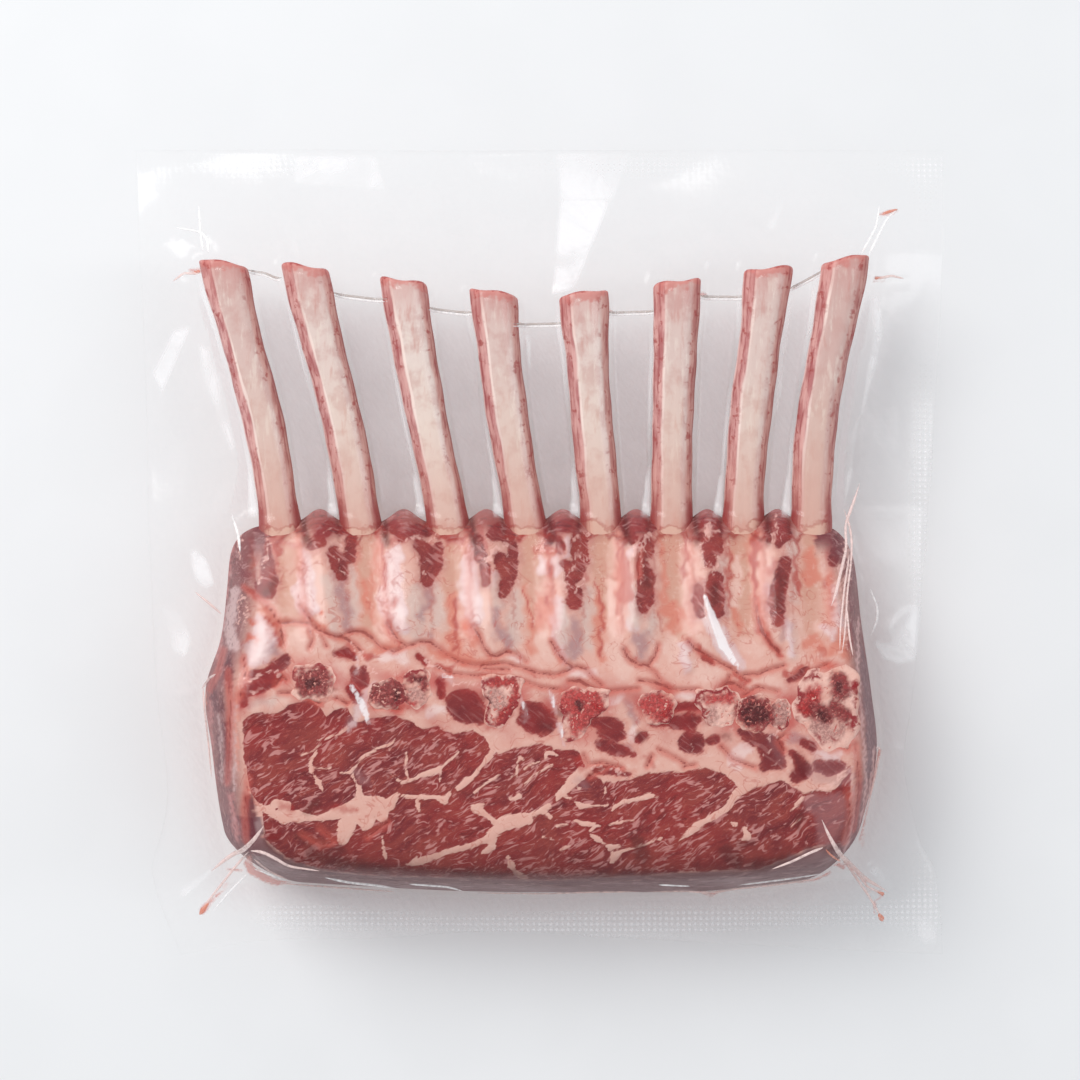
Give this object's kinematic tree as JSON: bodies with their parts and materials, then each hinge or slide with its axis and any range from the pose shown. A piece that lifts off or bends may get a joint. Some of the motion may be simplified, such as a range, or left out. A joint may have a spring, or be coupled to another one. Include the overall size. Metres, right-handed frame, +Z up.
{
  "type": "vacuum packed rack of lamb",
  "caption": "Raw rack of lamb with trimmed rib bones, sealed flat in a clear vacuum pouch, rib side up.",
  "frame": {"origin": "on the table, under the middle of the pouch's outline", "axes": "+Z up from the table, +Y from the meat towards the rib tips, +X along the rack to the right as seen from above"},
  "size_m": [0.25, 0.249, 0.0482],
  "materials": {
    "meat_under_film": "raw meat and bone seen through clear glossy film"
  },
  "bodies": {
    "root": {"sealed_pack": "meat_under_film"}
  },
  "joints": []
}
